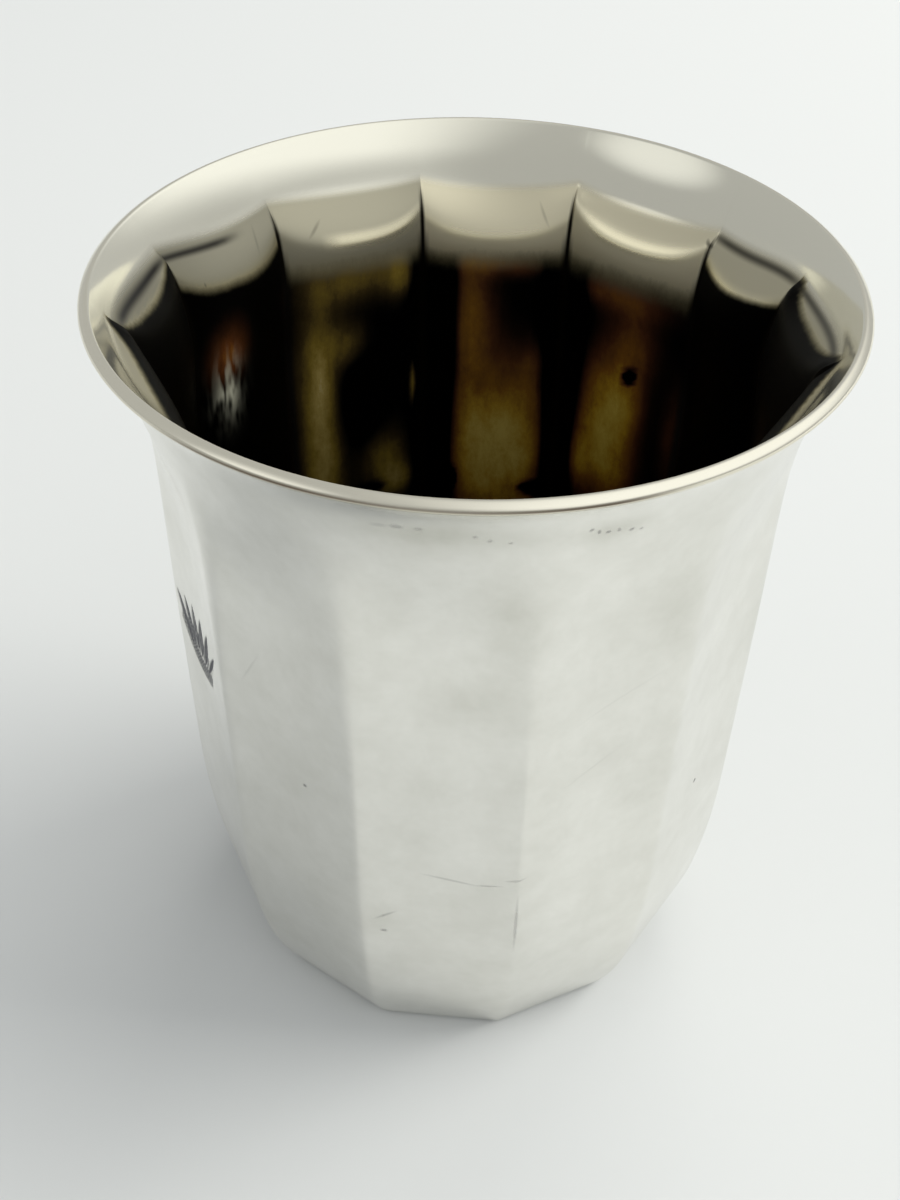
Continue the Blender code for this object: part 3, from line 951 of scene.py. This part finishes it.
    # The shoulder is satin, and the wall below its foot is rougher still.
    below = add(tree, "ShaderNodeMapRange", {
        "Value": mark["under_foot"], "From Min": 0.2, "From Max": 1.6,
        "To Min": 0.32, "To Max": 0.55,
    })
    satin_rough = add(tree, "ShaderNodeMix", {
        0: shoulder, 2: 0.10, 3: below.outputs["Result"],
    }, data_type="FLOAT")
    highlight_rough = add(tree, "ShaderNodeMix", {
        0: foot_highlight, 2: satin_rough.outputs[0], 3: 0.18,
    }, data_type="FLOAT")
    rough = add(tree, "ShaderNodeMix", {
        0: black.outputs["Result"], 2: highlight_rough.outputs[0], 3: 0.6,
    }, data_type="FLOAT")
    tree.links.new(colour.outputs[2], shader.inputs["Base Color"])
    tree.links.new(metal.outputs[0], shader.inputs["Metallic"])
    tree.links.new(rough.outputs[0], shader.inputs["Roughness"])
    return material


def table_paper():
    """The studio's plain pale table: matt, faintly cool."""
    material, _, shader, _ = new_material("matt_white_table")
    shader.inputs["Base Color"].default_value = linear("#D6D8D8")
    shader.inputs["Roughness"].default_value = 0.9
    return material


# ---------------------------------------------------------------- the piece
beaker = bpy.data.objects.new("silver_beaker", make_beaker())
bpy.context.scene.collection.objects.link(beaker)
beaker.data.materials.append(polished_silver())
beaker.data.materials.append(tarnished_gilt())
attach(beaker, "root")
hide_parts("beaker")


# ---------------------------------------------------------------- the studio
FLOOR_HALF = 3.0
FLOOR_GAP = 0.02 * MM               # keeps the floor clear of the underside
WARM_WHITE = "#FFFDF6"
# Directions in which the room is bright: towards the window, and on the wall across from it.
WINDOW_SIDE = (0.85, -0.10, 0.50)
PALE_WALL_SIDE = (-0.70, -0.39, 0.60)


def flat_floor(half):
    """A level square of the given half side at the height that the cup stands on."""
    corners = [(-half, -half, 0), (half, -half, 0), (half, half, 0), (-half, half, 0)]
    mesh = bpy.data.meshes.new("studio_floor")
    mesh.from_pydata(corners, [], [(0, 1, 2, 3)])
    return mesh


def soft_box(name, place, aim, width, height, power, colour):
    """A rectangular lamp at a place, turned to face the aim. Sizes in metres, power in watts."""
    lamp = bpy.data.lights.new(name, "AREA")
    lamp.shape = "RECTANGLE"
    lamp.size, lamp.size_y = width, height
    lamp.energy = power
    lamp.color = linear(colour)[:3]
    box = bpy.data.objects.new(name, lamp)
    box.location = place
    box.rotation_mode = "QUATERNION"
    box.rotation_quaternion = (Vector(aim) - Vector(place)).to_track_quat("-Z", "Y")
    bpy.context.scene.collection.objects.link(box)
    return box


studio_floor = bpy.data.objects.new("studio_floor", flat_floor(FLOOR_HALF))
studio_floor.location.z = node_low.z - FLOOR_GAP
studio_floor.data.materials.append(table_paper())
bpy.context.scene.collection.objects.link(studio_floor)

cup_middle = (0.0, 0.0, HEIGHT / 2)
window = soft_box("window", (1.1, 0.3, 0.85), cup_middle, 0.9, 0.9, 14.5, WARM_WHITE)
window.visible_glossy = False
back_light = soft_box("back_light", (0.2, 0.6, 1.2), cup_middle, 0.5, 0.5, 3.0, WARM_WHITE)
back_light.visible_glossy = False


def pale_room():
    """A soft room, brightest towards the window's side and next on the wall across from it."""
    world = bpy.data.worlds.new("pale_room")
    world.use_nodes = True
    tree = world.node_tree
    direction = add(tree, "ShaderNodeTexCoord").outputs["Generated"]
    towards = add(tree, "ShaderNodeVectorMath", {
        0: direction, 1: WINDOW_SIDE,
    }, operation="DOT_PRODUCT")
    side = add(tree, "ShaderNodeMapRange", {
        "Value": towards.outputs["Value"], "From Min": 0.2, "From Max": 0.85,
    }, interpolation_type="SMOOTHSTEP")
    level = add(tree, "ShaderNodeSeparateXYZ", {"Vector": direction}).outputs["Z"]
    lift = add(tree, "ShaderNodeMapRange", {
        "Value": level, "From Min": 0.1, "From Max": 0.55, "To Max": 0.65,
    }, interpolation_type="SMOOTHSTEP")
    bright = add(tree, "ShaderNodeMath", {
        0: side.outputs["Result"], 1: lift.outputs["Result"], 2: 0.52,
    }, operation="MULTIPLY_ADD")
    across = add(tree, "ShaderNodeVectorMath", {
        0: direction, 1: PALE_WALL_SIDE,
    }, operation="DOT_PRODUCT")
    pale_wall = add(tree, "ShaderNodeMapRange", {
        "Value": across.outputs["Value"], "From Min": 0.92, "From Max": 1.0, "To Max": 0.5,
    }, interpolation_type="SMOOTHSTEP")
    bright = add(tree, "ShaderNodeMath", {
        0: bright.outputs[0], 1: pale_wall.outputs["Result"],
    }, operation="ADD")
    ground = tree.nodes["Background"]
    ground.inputs["Color"].default_value = linear("#F6F8F8")
    tree.links.new(bright.outputs[0], ground.inputs["Strength"])
    return world


bpy.context.scene.world = pale_room()

# The camera looks down into the cup from the front.
CAMERA_PLACE = Vector((7.74, -116.21, 141.06)) * MM
CAMERA_AIM = Vector((-1.75, 0.0, 41.1)) * MM
CAMERA_ROLL = np.radians(1.07)
CAMERA_SENSOR, CAMERA_LENS = 36.0, 43.82

camera_data = bpy.data.cameras.new("camera")
camera_data.sensor_width = CAMERA_SENSOR
camera_data.lens = CAMERA_LENS
camera_data.clip_start = 5 * MM
camera = bpy.data.objects.new("camera", camera_data)
camera.location = CAMERA_PLACE
camera.rotation_mode = "QUATERNION"
facing = (CAMERA_AIM - CAMERA_PLACE).to_track_quat("-Z", "Y")
camera.rotation_quaternion = facing @ Quaternion((0.0, 0.0, 1.0), CAMERA_ROLL)
bpy.context.scene.collection.objects.link(camera)
bpy.context.scene.camera = camera

bpy.context.scene.view_settings.view_transform = "Standard"
